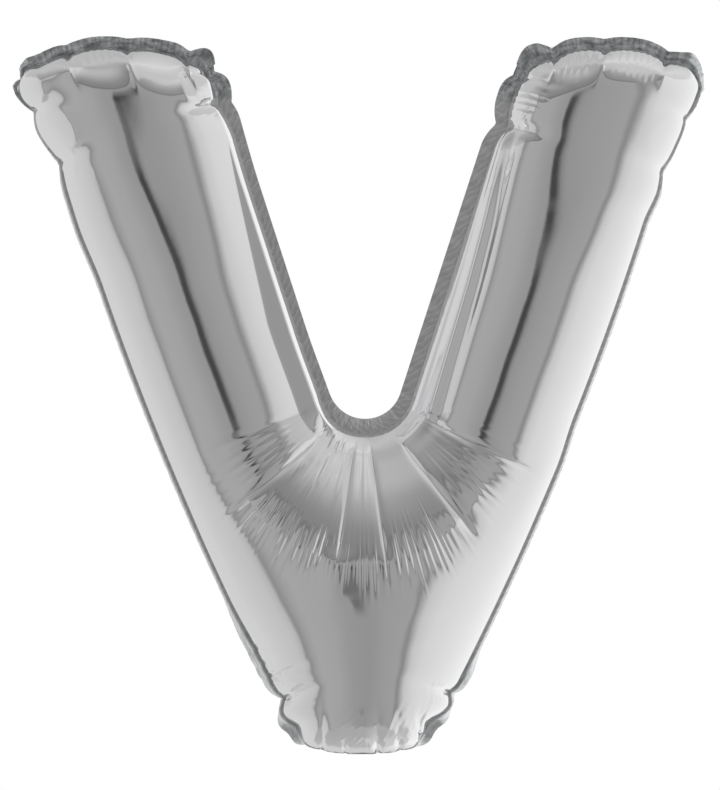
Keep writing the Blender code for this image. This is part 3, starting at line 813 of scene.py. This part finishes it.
# The welded border: how wide it is, how it leans back round the outside, and how it flutters
border = {
    "width": 7.0,
    "topWidth": 5.7,
    "thickness": 0.3,
    "tuck": 1.6,
    "flat": 1.5,
    "bend": 1.5,  # over this length beyond the flat part it comes to its full lean
    "sideTilt": radians(78),
    "footTilt": radians(104),
    "cornerStart": 0.85,
    "linesAcross": 14,
    "topFlutter": 0.9,
    "sideFlutter": 0.25,
    "flutterLength": 11.0,
    "fineLength": 4.3,
    "crush": 0.30,
    "crushLength": 6.0,
    "crushEnd": 19.0,
    "crushFade": 5.0,
    "crushStart": 2.0,  # the facets grow over this length from the weld
    "crushSlants": (0.8, -1.3),
    "narrows": 12.0,  # beside the notch it narrows over this length below the top
    "easeEdge": 1.2,
    "flutterPower": 1.3,
    "waves": (0.7, 0.3),
    "liftOutwards": 0.8,
    "drawnMore": 0.15,  # the free edge is drawn in by this share more than the weld
}

# Where it leans back less or more: height, how far either way, by how many degrees, how crushed it is there
# (which also sets the painted shade in its colour), and what share of the flat part is left
eases = listOf(
    "arm place reach ease crushed flat",
    (-1, -122.0, 29, 24, 0.55, 1.0),
    (1, -132.0, 15, 20, 0.8, 1.0),
    (-1, -157.0, 10, 85, 0.5, 1.0),
    (1, -157.0, 12, 90, 0.6, 1.0),
    (-1, 125.0, 22, -20, 0.0, 0.3),
    (1, 118.0, 24, -16, 0.0, 0.5),
    (-1, -166.3, 24, 0.0, 0.0, 0.1),
    (1, -166.3, 24, 0.0, 0.0, 0.1),
)


def borderRing(name, material):
    # A thin strip carried round the rim: flat at the weld, then leaning back by an angle that changes
    # round the letter. Waves that grow towards its free edge lift it in and out of the plane, and small
    # slanted facets crush it over the tops of the arms and at the foot's corners.
    plan = layOut()
    s, v, x, z = plan["s"], plan["v"], plan["x"], plan["z"]
    drawn, lobed = (loopOf(drawnIn(plan, marks))[:, None] for marks in (pinches + swells, lobes))
    farZ = outerWeld(s)[1]
    tilt = np.zeros_like(x)
    tilt[[0, -1]] = border["sideTilt"] * smooth((v - border["cornerStart"]) / (1 - border["cornerStart"]))
    toFoot = smooth((letter["ankleZ"] - farZ) / (letter["ankleZ"] - letter["footBottomZ"]))
    tilt[:, -1] = border["sideTilt"] + (border["footTilt"] - border["sideTilt"]) * toFoot
    nearTop = smooth((border["crushEnd"] - (innerLength - np.abs(s))) / border["crushFade"])[:, None] + 0 * x
    crushed, flat = nearTop.copy(), np.full_like(x, border["flat"])
    for part in eases:
        away = np.abs(outerPlace(s) - placeOn(plan, "outer", part["arm"], part["place"]))
        near = smooth(border["easeEdge"] - away / part["reach"]) * (np.sign(s) != -part["arm"])
        tilt[:, -1] -= radians(part["ease"]) * near
        crushed[:, -1] = np.maximum(crushed[:, -1], part["crushed"] * near)
        flat[:, -1] *= 1 - (1 - part["flat"]) * near
    width = np.full_like(x, border["width"])
    width[[0, -1]] = border["topWidth"]
    besideNotch = smooth(1 - (innerLength - np.abs(s)) / border["narrows"])
    width[:, 0] -= (border["width"] - border["topWidth"]) * besideNotch
    tilt, nearTop, crushed, flat, width = (loopOf(grid) for grid in (tilt, nearTop, crushed, flat, width))
    rimX, rimZ = loopOf(x), loopOf(z)
    normalX, normalZ = outward(rimX, rimZ)
    distance = np.concatenate([[0], np.cumsum(np.hypot(np.diff(rimX), np.diff(rimZ)))])
    flat, width = flat[:, None], width[:, None]
    across = np.linspace(0, 1, border["linesAcross"]) * (width + border["tuck"]) - border["tuck"]
    free = np.clip(across / width, 0, 1)
    bent = np.maximum(across - flat, 0)
    lean = tilt[:, None] * smooth(bent / border["bend"])
    flutter = border["sideFlutter"] + (border["topFlutter"] - border["sideFlutter"]) * nearTop
    wave = border["waves"][0] * wander(distance, border["flutterLength"], 1)
    wave = wave + border["waves"][1] * wander(distance, border["fineLength"], 5)
    lift = (flutter * wave)[:, None] * free ** border["flutterPower"]
    slanted, counter = (distance[:, None] + slant * across for slant in border["crushSlants"])
    crush = wander(slanted, border["crushLength"], 2) * wander(counter, 1.7 * border["crushLength"], 6)
    lift += border["crush"] * crushed[:, None] * crush * smooth(across / border["crushStart"])
    out = np.minimum(across, flat) + bent * np.cos(lean)
    out = out + lift * np.sin(lean) * border["liftOutwards"]
    out = out - drawn * (1 + border["drawnMore"] * free) - lobed * free
    back = bent * np.sin(lean) - lift * np.cos(lean)
    rings = []
    for sign in (-1, 1):
        order = slice(None) if sign < 0 else slice(None, None, -1)
        px = rimX[:, None] + normalX[:, None] * out
        py = back + sign * border["thickness"] / 2
        pz = rimZ[:, None] + normalZ[:, None] * out
        rings.append(np.stack([px, py, pz], 2)[:, order])
    points = np.concatenate(rings, 1)
    around = points.shape[1]
    uv = np.stack([np.repeat(distance, around), np.hstack([across, across[:, ::-1]]).ravel()], 1)
    piece = tubeObject(name, points, material, uv)
    # The crushed share also goes to the material, which paints shade into the border's colour where it is
    # high
    layer = piece.data.attributes.new("crushed", "FLOAT", "POINT")
    layer.data.foreach_set("value", np.repeat(crushed, around).astype(np.float32))
    return piece


# The filling neck behind the foot and the valve sleeve in it: flat tubes in line with the border there.
# start and end are distances back from the weld, halfDepth half the tube's depth. above: how far over the
# foot's edge they lie; flatShare and flatOver: how flat they are at the weld, and over what length they
# open. bend is the height of their waves; long and short: where such a wave starts, over what length it
# grows, and how long it is.
neck = {"halfWidth": 12.0, "start": 5.4, "end": 23.5, "halfDepth": 1.1, "wall": 0.25}
sleeve = {"halfWidth": 8.2, "start": 9.8, "end": 27.0, "halfDepth": 0.45, "wall": 0.1}
tubeForm = {
    "middleX": 7.0, "above": 0.3, "flatShare": 0.2, "flatOver": 5.0, "bend": 0.45,
    "long": (6, 14, 21), "short": (6, 6, 8), "shortShare": 0.3, "linesAround": 72, "linesAlong": 40,
}


def flatTube(name, form, material):
    # A flat tube whose section is an ellipse, carried straight back behind the foot along its curved edge.
    # The inside is the same tube smaller by the wall, joined to the outside at both ends. Slow waves that
    # grow towards its mouth bend it up and down.
    turn = np.linspace(0, 2 * pi, tubeForm["linesAround"], endpoint=False)
    back = np.linspace(form["start"], form["end"], tubeForm["linesAlong"])[:, None]
    flat = tubeForm["flatShare"]
    opened = flat + (1 - flat) * smooth((back - form["start"]) / tubeForm["flatOver"])
    (longFrom, longOver, longWave), (shortFrom, shortOver, shortWave) = tubeForm["long"], tubeForm["short"]
    foot = outerZ <= letter["footCornerZ"]
    rings = []
    for wall, order in ((0, slice(None)), (form["wall"], slice(None, None, -1))):
        x = tubeForm["middleX"] + (form["halfWidth"] - wall) * np.cos(turn) + 0 * back
        edge = np.interp(np.abs(x), outerX[foot], outerZ[foot])
        waves = smooth((back - longFrom) / longOver) * wander(x, longWave, 3)
        grows = tubeForm["shortShare"] * smooth((back - shortFrom) / shortOver)
        waves = waves + grows * wander(x + back, shortWave, 5)
        lift = (form["halfDepth"] - wall) * opened * np.sin(turn)
        z = edge + tubeForm["above"] - lift - tubeForm["bend"] * waves
        rings.append(np.stack([x, back + 0 * x, z], 2)[order])
    points = np.concatenate(rings)
    return tubeObject(name, points, material, points.reshape(-1, 3)[:, :2], turned=True)


def linear(hexColour):  # sRGB hex to linear light
    parts = [int(hexColour[i : i + 2], 16) / 255 for i in (1, 3, 5)]
    return [part / 12.92 if part <= 0.04045 else ((part + 0.055) / 1.055) ** 2.4 for part in parts] + [1]


def addNode(tree, kind, inputs=(), **settings):  # inputs: pairs of socket and a value or another socket
    made = tree.nodes.new("ShaderNode" + kind)
    for key, value in settings.items():
        setattr(made, key, value)
    for socket, value in inputs:
        if isinstance(value, bpy.types.NodeSocket):
            tree.links.new(value, made.inputs[socket])
        else:
            made.inputs[socket].default_value = value
    return made


def newMaterial(name, colour, metallic, roughness):
    made = bpy.data.materials.new(name)
    made.use_nodes = True
    shader = made.node_tree.nodes["Principled BSDF"]
    shader.inputs["Base Color"].default_value = linear(colour)
    shader.inputs["Metallic"].default_value = metallic
    shader.inputs["Roughness"].default_value = roughness
    return made, made.node_tree, shader


def metallisedFilm():
    # Nylon film with vacuum-deposited aluminium: nearly a mirror, with the faint grain of the rolled film.
    made, tree, shader = newMaterial("metallisedNylonFilm", "#f2f2f3", 1.0, 0.07)
    coords = addNode(tree, "TexCoord")
    grain = addNode(
        tree, "TexNoise", [("Vector", coords.outputs["Object"]), ("Scale", 260.0), ("Detail", 3.0)]
    )
    bump = addNode(
        tree, "Bump", [("Height", grain.outputs["Fac"]), ("Strength", 0.03), ("Distance", 0.0004)]
    )
    tree.links.new(bump.outputs["Normal"], shader.inputs["Normal"])
    return made


def weldedFilm():
    # The same film pressed by the hot sealing bar: duller, with the bar's fine slanted hatch. Where it is
    # crushed, over the arms' tops, the shade its small facets cast on one another is painted into its
    # colour: painted shade in darker patches, with bright glints between.
    made, tree, shader = newMaterial("heatWeldedFilm", "#f0f0f1", 1.0, 0.26)
    uv = addNode(tree, "UVMap", uv_map="millimetres").outputs["UV"]
    crushed = addNode(tree, "Attribute", attribute_name="crushed").outputs["Fac"]
    turned = addNode(tree, "Mapping", [("Vector", uv), ("Rotation", (0, 0, radians(-48)))])
    hatch = addNode(
        tree, "TexWave",
        [("Vector", turned.outputs["Vector"]), ("Scale", 0.11), ("Distortion", 7.0), ("Detail", 3.0)],
    )
    strokes = addNode(tree, "MapRange", [("Value", hatch.outputs["Fac"]), ("From Min", 0.72)])
    pressed = addNode(
        tree, "Mix",
        [(0, strokes.outputs["Result"]), (6, linear("#efeff0")), (7, linear("#ffffff"))], data_type="RGBA",
    )
    # Painted shade for the crushed stretches: streaked noise through a ramp from dark grey to near white,
    # mixed into the colour by the crushed share
    streaked = addNode(
        tree, "Mapping",
        [("Vector", uv), ("Rotation", (0, 0, radians(-40))), ("Scale", (0.35, 1.1, 1.0))],
    )
    paintedShadeNoise = addNode(
        tree, "TexNoise", [("Vector", streaked.outputs["Vector"]), ("Scale", 0.42), ("Detail", 4.0)]
    )
    shade = addNode(tree, "ValToRGB", [("Fac", paintedShadeNoise.outputs["Fac"])])
    shade.color_ramp.elements[0].position = 0.35
    shade.color_ramp.elements[0].color = linear("#a2a6a8")
    shade.color_ramp.elements[1].position = 0.66
    shade.color_ramp.elements[1].color = linear("#eceff0")
    colour = addNode(
        tree, "Mix",
        [(0, crushed), (6, pressed.outputs[2]), (7, shade.outputs["Color"])], data_type="RGBA",
    )
    rough = addNode(tree, "MapRange", [("Value", crushed), ("To Min", 0.26), ("To Max", 0.22)])
    bump = addNode(
        tree, "Bump", [("Height", hatch.outputs["Fac"]), ("Strength", 0.1), ("Distance", 0.0002)]
    )
    tree.links.new(colour.outputs[2], shader.inputs["Base Color"])
    tree.links.new(rough.outputs["Result"], shader.inputs["Roughness"])
    tree.links.new(bump.outputs["Normal"], shader.inputs["Normal"])
    return made


def clearFilm():
    # Blown polyethylene: clear and glossy, a little milky where it is creased.
    made, tree, shader = newMaterial("clearPolyethyleneFilm", "#f3f6f8", 0.0, 0.18)
    shader.inputs["Transmission Weight"].default_value = 0.85
    shader.inputs["IOR"].default_value = 1.5
    coords = addNode(tree, "TexCoord")
    milk = addNode(tree, "TexNoise", [("Vector", coords.outputs["Object"]), ("Scale", 220.0)])
    rough = addNode(
        tree, "MapRange", [("Value", milk.outputs["Fac"]), ("To Min", 0.1), ("To Max", 0.34)]
    )
    tree.links.new(rough.outputs["Result"], shader.inputs["Roughness"])
    return made


# What the studio shows in the mirror of the film, as rings one above the other. Each ring starts at a
# height above the horizon and has levels by direction, in degrees from the camera towards the right.
studio = {
    "rings": (
        {
            "start": -90, "soft": 1,
            "levels": (
                (-180, 0.50), (-120, 0.46), (-60, 0.44), (0, 0.44), (60, 0.52), (120, 0.62), (165, 0.64),
                (180, 0.50),
            ),
        },
        {
            "start": -54, "soft": 12,
            "levels": (
                (-180, 0.64), (-160, 0.70), (-120, 0.70), (-72, 0.59), (-64, 0.52),
                (-61, 0.28), (-55, 0.37), (-48, 0.42), (-30, 0.40), (-14, 0.34), (4, 0.32), (20, 0.36),
                (34, 0.38), (39, 0.26), (43, 0.44), (47, 0.62), (60, 0.73), (80, 0.79), (100, 0.85),
                (130, 0.94), (155, 1.0), (170, 0.80), (180, 0.64),
            ),
        },
        {
            "start": 18.5, "soft": 2.5,
            "levels": (
                (-180, 0.50), (-154, 0.58), (-120, 0.58), (-100, 0.48), (-70, 0.46), (-61, 0.26),
                (-50, 0.19), (-15, 0.20), (10, 0.22), (36, 0.24), (43, 0.44), (47, 0.62), (60, 0.73),
                (80, 0.77), (100, 0.80), (130, 0.85), (155, 0.9), (180, 0.50),
            ),
        },
        {
            "start": 22, "soft": 4,
            "levels": (
                (-180, 0.50), (-150, 0.56), (-120, 0.54), (-100, 0.42), (-70, 0.34), (-45, 0.27),
                (-15, 0.25), (10, 0.27), (38, 0.32), (44, 0.50), (60, 0.58), (80, 0.62), (100, 0.68),
                (130, 0.75), (180, 0.55),
            ),
        },
        {
            "start": 26, "soft": 50,
            "levels": (
                (-180, 0.50), (-150, 0.58), (-120, 0.52), (-90, 0.46), (-60, 0.46), (-30, 0.54), (0, 0.60),
                (20, 0.70), (40, 0.66), (70, 0.60), (100, 0.66), (130, 0.75), (180, 0.60),
            ),
        },
    ),
    # The photographer's dark shape, a sharp core within a soft surround, and the dark behind the letter
    "darkSpots": (
        {"across": (161.0, 200.0), "edges": (10.0, 1.0), "heights": (-18, 19), "soft": 8, "depth": 0.78},
        {"across": (-200.0, -166.0), "edges": (1.0, 10.0), "heights": (-18, 19), "soft": 8, "depth": 0.78},
        {"across": (-8.0, -1.0), "edges": (3.0, 5.0), "heights": (-6, 5), "soft": 7, "depth": 0.62},
        {"across": (-7.5, 1.0), "edges": (3.0, 9.0), "heights": (-21, 13), "soft": 12, "depth": 0.50},
    ),
}


def within(tree, value, low, high, edgeLow, edgeHigh):  # 1 between two limits in degrees, with soft edges
    low, high, edgeLow, edgeHigh = radians(low), radians(high), radians(edgeLow), radians(edgeHigh)
    rising = addNode(
        tree, "MapRange",
        [("Value", value), ("From Min", low - edgeLow / 2), ("From Max", low + edgeLow / 2)],
        interpolation_type="SMOOTHSTEP",
    )
    return addNode(
        tree, "MapRange",
        [("Value", value), ("From Min", high - edgeHigh / 2), ("From Max", high + edgeHigh / 2),
         ("To Min", rising.outputs["Result"]), ("To Max", 0.0)],
        interpolation_type="SMOOTHSTEP",
    ).outputs["Result"]


def buildStudio():
    world = bpy.data.worlds.new("whiteStudio")
    bpy.context.scene.world = world
    world.use_nodes = True
    tree = world.node_tree
    tree.nodes.clear()
    coords = addNode(tree, "TexCoord")
    split = addNode(tree, "SeparateXYZ", [("Vector", coords.outputs["Generated"])])
    towards = addNode(tree, "Math", [(0, split.outputs["Y"]), (1, -1.0)], operation="MULTIPLY")
    azimuth = addNode(
        tree, "Math", [(0, split.outputs["X"]), (1, towards.outputs[0])], operation="ARCTAN2"
    ).outputs[0]
    height = addNode(tree, "Math", [(0, split.outputs["Z"])], operation="ARCSINE").outputs[0]
    share = addNode(tree, "MapRange", [("Value", azimuth), ("From Min", -pi), ("From Max", pi)])
    level = 0.5
    for ring in studio["rings"]:
        ramp = addNode(tree, "ValToRGB", [("Fac", share.outputs["Result"])])
        stops = ramp.color_ramp.elements
        for n, (angle, light) in enumerate(ring["levels"]):
            stop = stops[0] if n == 0 else (stops[-1] if angle == 180 else stops.new((angle + 180) / 360))
            stop.position = (angle + 180) / 360
            stop.color = (light, light, light, 1)
        start, end = radians(ring["start"]), radians(ring["start"] + ring["soft"])
        above = addNode(
            tree, "MapRange", [("Value", height), ("From Min", start), ("From Max", end)],
            interpolation_type="SMOOTHSTEP",
        )
        level = addNode(
            tree, "Mix", [(0, above.outputs["Result"]), (2, level), (3, ramp.outputs["Color"])]
        ).outputs[0]
    for spot in studio["darkSpots"]:
        across = within(tree, azimuth, *spot["across"], *spot["edges"])
        upright = within(tree, height, *spot["heights"], spot["soft"], spot["soft"])
        both = addNode(tree, "Math", [(0, across), (1, upright)], operation="MULTIPLY").outputs[0]
        keep = addNode(
            tree, "MapRange", [("Value", both), ("To Min", 1.0), ("To Max", 1 - spot["depth"])]
        )
        level = addNode(
            tree, "Math", [(0, level), (1, keep.outputs["Result"])], operation="MULTIPLY"
        ).outputs[0]
    seen = addNode(tree, "LightPath")
    toCamera = addNode(tree, "Mix", [(0, seen.outputs["Is Camera Ray"]), (2, level), (3, 1.0)])
    background = addNode(tree, "Background", [("Strength", toCamera.outputs[0])])
    background.inputs["Color"].default_value = (1, 1, 1, 1)
    addNode(tree, "OutputWorld", [("Surface", background.outputs[0])])


def layFloor():
    # A matt pale floor below the letter, lit a little from under, as on a light table. The film mirrors
    # the studio's own pale floor instead, which reaches further.
    made, tree, shader = newMaterial("paleMattBoard", "#f4f4f2", 0.0, 0.9)
    shader.inputs["Emission Color"].default_value = (1, 1, 1, 1)
    shader.inputs["Emission Strength"].default_value = 0.2
    half, height = 600.0, -250.0
    corners = [(-half, -half, height), (half, -half, height), (half, half, height), (-half, half, height)]
    floor = meshObject("floor", corners, [(0, 1, 2, 3)], made)
    floor.visible_glossy = False


# The photograph's frame: the camera looks straight at the letter from far enough away to keep it square
view = {"height": 790, "pixel": 0.4667, "centreX": -1.17, "centreZ": 0.0, "distance": 2200.0}


def setCamera():
    data = bpy.data.cameras.new("camera")
    data.sensor_fit = "VERTICAL"
    data.sensor_height = 36.0
    data.lens = data.sensor_height * view["distance"] / (view["height"] * view["pixel"])
    data.clip_end = 50
    camera = bpy.data.objects.new("camera", data)
    camera.location = (view["centreX"] * mm, -view["distance"] * mm, view["centreZ"] * mm)
    camera.rotation_euler = (radians(90), 0, 0)
    bpy.context.scene.collection.objects.link(camera)
    bpy.context.scene.camera = camera


filmMaterial = metallisedFilm()
weldMaterial = weldedFilm()
for node, side in (("front_panel", -1), ("back_panel", 1)):
    panel = filmPanel(node.replace("panel", "film"), side, filmMaterial)
    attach(panel, "root")
    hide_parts(node)
strip = borderRing("welded_border", weldMaterial)
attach(strip, "root")
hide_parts("seam_border")
for node, form, material, slot in (
    ("valve_neck", neck, weldMaterial, "welded_foil"),
    ("valve_sleeve", sleeve, clearFilm(), "clear_film"),
):
    tube = flatTube(node.replace("valve", "filling"), form, material)
    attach(tube, "root")
    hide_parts(node)
buildStudio()
layFloor()
setCamera()
print("studio, floor and camera set")
scene = bpy.context.scene
scene.view_settings.view_transform = "Standard"
